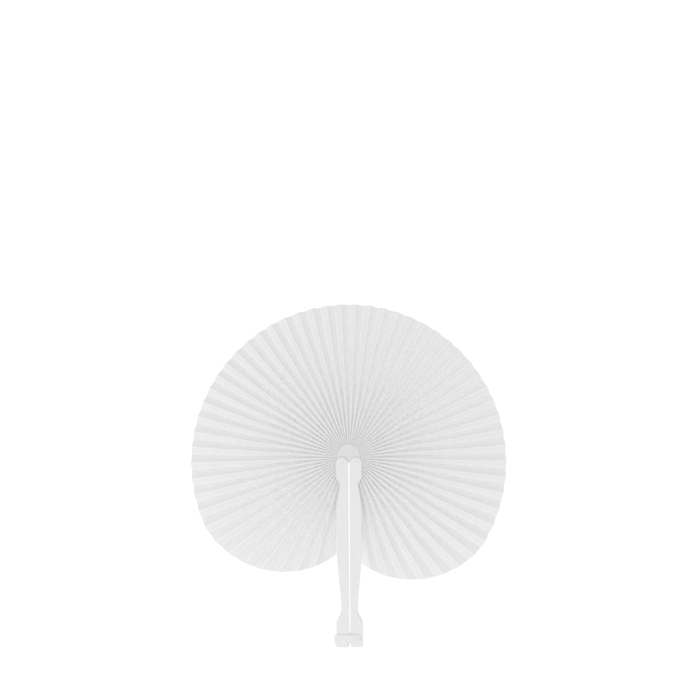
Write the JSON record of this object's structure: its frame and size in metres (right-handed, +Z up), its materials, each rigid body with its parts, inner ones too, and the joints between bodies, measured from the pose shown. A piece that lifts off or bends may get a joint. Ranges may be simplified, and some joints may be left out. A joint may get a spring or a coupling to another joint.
{
  "type": "folding fan",
  "caption": "Round folding fan: pleated paper leaf that opens to a full circle between moulded arms. The arms turn on a small hub and latch together as a handle, and as the case when shut.",
  "frame": {"origin": "bottom centre of the whole open fan: halfway along its length and across its leaf, on the surface that the arms' backs lie on", "axes": "+X across the fan to the viewer's right, +Y from the foot of the handle to the top of the leaf, +Z up from the back of the arms to the front"},
  "size_m": [0.252, 0.2726, 0.0147],
  "materials": {
    "moulded_polypropylene": "satin white moulded polypropylene",
    "hub_polypropylene": "satin white moulded polypropylene, a little greyer",
    "white_paper": "matte uncoated white paper"
  },
  "bodies": {
    "hub": {"hub_back_plate": "hub_polypropylene", "hub_front_plate": "hub_polypropylene", "left_hinge_pin": "hub_polypropylene", "right_hinge_pin": "hub_polypropylene"},
    "left_arm": {"left_arm": "moulded_polypropylene", "left_leaf_end": "white_paper"},
    "right_arm": {"right_arm": "moulded_polypropylene", "right_leaf_end": "white_paper", "latch_pin": "hub_polypropylene"},
    "latch": {"latch": "moulded_polypropylene"},
    "left_leaf_01": {"left_leaf_01": "white_paper"},
    "left_leaf_02": {"left_leaf_02": "white_paper"},
    "left_leaf_03": {"left_leaf_03": "white_paper"},
    "left_leaf_04": {"left_leaf_04": "white_paper"},
    "left_leaf_05": {"left_leaf_05": "white_paper"},
    "left_leaf_06": {"left_leaf_06": "white_paper"},
    "left_leaf_07": {"left_leaf_07": "white_paper"},
    "left_leaf_08": {"left_leaf_08": "white_paper"},
    "left_leaf_09": {"left_leaf_09": "white_paper"},
    "left_leaf_10": {"left_leaf_10": "white_paper"},
    "right_leaf_01": {"right_leaf_01": "white_paper"},
    "right_leaf_02": {"right_leaf_02": "white_paper"},
    "right_leaf_03": {"right_leaf_03": "white_paper"},
    "right_leaf_04": {"right_leaf_04": "white_paper"},
    "right_leaf_05": {"right_leaf_05": "white_paper"},
    "right_leaf_06": {"right_leaf_06": "white_paper"},
    "right_leaf_07": {"right_leaf_07": "white_paper"},
    "right_leaf_08": {"right_leaf_08": "white_paper"},
    "right_leaf_09": {"right_leaf_09": "white_paper"},
    "right_leaf_10": {"right_leaf_10": "white_paper"}
  },
  "joints": [
    {"name": "left_fold", "type": "hinge", "parent": "hub", "child": "left_arm", "pos_m": [-0.0055, 0.0086, 0.0066], "axis": [0, 0, -1], "range_deg": [0, 180], "deforming": ["left_leaf_01", "left_leaf_02", "left_leaf_03", "left_leaf_04", "left_leaf_05", "left_leaf_06", "left_leaf_07", "left_leaf_08", "left_leaf_09", "left_leaf_10", "left_leaf_end"]},
    {"name": "right_fold", "type": "hinge", "parent": "hub", "child": "right_arm", "pos_m": [0.0055, 0.0086, 0.0066], "axis": [0, 0, 1], "range_deg": [0, 180], "deforming": ["right_leaf_01", "right_leaf_02", "right_leaf_03", "right_leaf_04", "right_leaf_05", "right_leaf_06", "right_leaf_07", "right_leaf_08", "right_leaf_09", "right_leaf_10", "right_leaf_end"]},
    {"name": "latch_swing", "type": "hinge", "parent": "right_arm", "child": "latch", "pos_m": [0.00537, -0.1298, 0.0132], "axis": [0, 0, 1], "range_deg": [0, 180]},
    {"name": "left_leaf_01_turn", "type": "hinge", "parent": "hub", "child": "left_leaf_01", "pos_m": [-0.00208, 0.01604, 0.0066], "axis": [0, 0, -1], "range_deg": [0, 8.23]},
    {"name": "left_leaf_02_turn", "type": "hinge", "parent": "hub", "child": "left_leaf_02", "pos_m": [-0.00253, 0.01572, 0.0066], "axis": [0, 0, -1], "range_deg": [0, 24.7]},
    {"name": "left_leaf_03_turn", "type": "hinge", "parent": "hub", "child": "left_leaf_03", "pos_m": [-0.00295, 0.01536, 0.0066], "axis": [0, 0, -1], "range_deg": [0, 41.17]},
    {"name": "left_leaf_04_turn", "type": "hinge", "parent": "hub", "child": "left_leaf_04", "pos_m": [-0.00333, 0.01494, 0.0066], "axis": [0, 0, -1], "range_deg": [0, 57.74]},
    {"name": "left_leaf_05_turn", "type": "hinge", "parent": "hub", "child": "left_leaf_05", "pos_m": [-0.00368, 0.01445, 0.0066], "axis": [0, 0, -1], "range_deg": [0, 74.52]},
    {"name": "left_leaf_06_turn", "type": "hinge", "parent": "hub", "child": "left_leaf_06", "pos_m": [-0.00399, 0.01391, 0.0066], "axis": [0, 0, -1], "range_deg": [0, 91.69]},
    {"name": "left_leaf_07_turn", "type": "hinge", "parent": "hub", "child": "left_leaf_07", "pos_m": [-0.00453, 0.0135, 0.0066], "axis": [0, 0, -1], "range_deg": [0, 109.74]},
    {"name": "left_leaf_08_turn", "type": "hinge", "parent": "hub", "child": "left_leaf_08", "pos_m": [-0.00502, 0.0129, 0.0066], "axis": [0, 0, -1], "range_deg": [0, 128.78]},
    {"name": "left_leaf_09_turn", "type": "hinge", "parent": "hub", "child": "left_leaf_09", "pos_m": [-0.00546, 0.01209, 0.0066], "axis": [0, 0, -1], "range_deg": [0, 149.25]},
    {"name": "left_leaf_10_turn", "type": "hinge", "parent": "hub", "child": "left_leaf_10", "pos_m": [-0.0058, 0.01121, 0.0066], "axis": [0, 0, -1], "range_deg": [0, 167.77]},
    {"name": "right_leaf_01_turn", "type": "hinge", "parent": "hub", "child": "right_leaf_01", "pos_m": [0.00208, 0.01604, 0.0066], "axis": [0, 0, 1], "range_deg": [0, 8.23]},
    {"name": "right_leaf_02_turn", "type": "hinge", "parent": "hub", "child": "right_leaf_02", "pos_m": [0.00253, 0.01572, 0.0066], "axis": [0, 0, 1], "range_deg": [0, 24.7]},
    {"name": "right_leaf_03_turn", "type": "hinge", "parent": "hub", "child": "right_leaf_03", "pos_m": [0.00295, 0.01536, 0.0066], "axis": [0, 0, 1], "range_deg": [0, 41.17]},
    {"name": "right_leaf_04_turn", "type": "hinge", "parent": "hub", "child": "right_leaf_04", "pos_m": [0.00333, 0.01494, 0.0066], "axis": [0, 0, 1], "range_deg": [0, 57.74]},
    {"name": "right_leaf_05_turn", "type": "hinge", "parent": "hub", "child": "right_leaf_05", "pos_m": [0.00368, 0.01445, 0.0066], "axis": [0, 0, 1], "range_deg": [0, 74.52]},
    {"name": "right_leaf_06_turn", "type": "hinge", "parent": "hub", "child": "right_leaf_06", "pos_m": [0.00399, 0.01391, 0.0066], "axis": [0, 0, 1], "range_deg": [0, 91.69]},
    {"name": "right_leaf_07_turn", "type": "hinge", "parent": "hub", "child": "right_leaf_07", "pos_m": [0.00453, 0.0135, 0.0066], "axis": [0, 0, 1], "range_deg": [0, 109.74]},
    {"name": "right_leaf_08_turn", "type": "hinge", "parent": "hub", "child": "right_leaf_08", "pos_m": [0.00501, 0.0129, 0.0066], "axis": [0, 0, 1], "range_deg": [0, 128.72]},
    {"name": "right_leaf_09_turn", "type": "hinge", "parent": "hub", "child": "right_leaf_09", "pos_m": [0.00545, 0.01209, 0.0066], "axis": [0, 0, 1], "range_deg": [0, 149.12]},
    {"name": "right_leaf_10_turn", "type": "hinge", "parent": "hub", "child": "right_leaf_10", "pos_m": [0.00579, 0.01121, 0.0066], "axis": [0, 0, 1], "range_deg": [0, 167.55]}
  ],
  "couplings": [
    {"joint": "left_leaf_01_turn", "follows": "left_fold", "ratio": 0.045741},
    {"joint": "left_leaf_02_turn", "follows": "left_fold", "ratio": 0.1372},
    {"joint": "left_leaf_03_turn", "follows": "left_fold", "ratio": 0.22874},
    {"joint": "left_leaf_04_turn", "follows": "left_fold", "ratio": 0.32077},
    {"joint": "left_leaf_05_turn", "follows": "left_fold", "ratio": 0.41397},
    {"joint": "left_leaf_06_turn", "follows": "left_fold", "ratio": 0.50937},
    {"joint": "left_leaf_07_turn", "follows": "left_fold", "ratio": 0.60969},
    {"joint": "left_leaf_08_turn", "follows": "left_fold", "ratio": 0.71545},
    {"joint": "left_leaf_09_turn", "follows": "left_fold", "ratio": 0.82916},
    {"joint": "left_leaf_10_turn", "follows": "left_fold", "ratio": 0.93204},
    {"joint": "right_leaf_01_turn", "follows": "right_fold", "ratio": 0.045741},
    {"joint": "right_leaf_02_turn", "follows": "right_fold", "ratio": 0.1372},
    {"joint": "right_leaf_03_turn", "follows": "right_fold", "ratio": 0.22874},
    {"joint": "right_leaf_04_turn", "follows": "right_fold", "ratio": 0.32077},
    {"joint": "right_leaf_05_turn", "follows": "right_fold", "ratio": 0.41397},
    {"joint": "right_leaf_06_turn", "follows": "right_fold", "ratio": 0.50937},
    {"joint": "right_leaf_07_turn", "follows": "right_fold", "ratio": 0.60969},
    {"joint": "right_leaf_08_turn", "follows": "right_fold", "ratio": 0.71513},
    {"joint": "right_leaf_09_turn", "follows": "right_fold", "ratio": 0.82845},
    {"joint": "right_leaf_10_turn", "follows": "right_fold", "ratio": 0.93081}
  ]
}
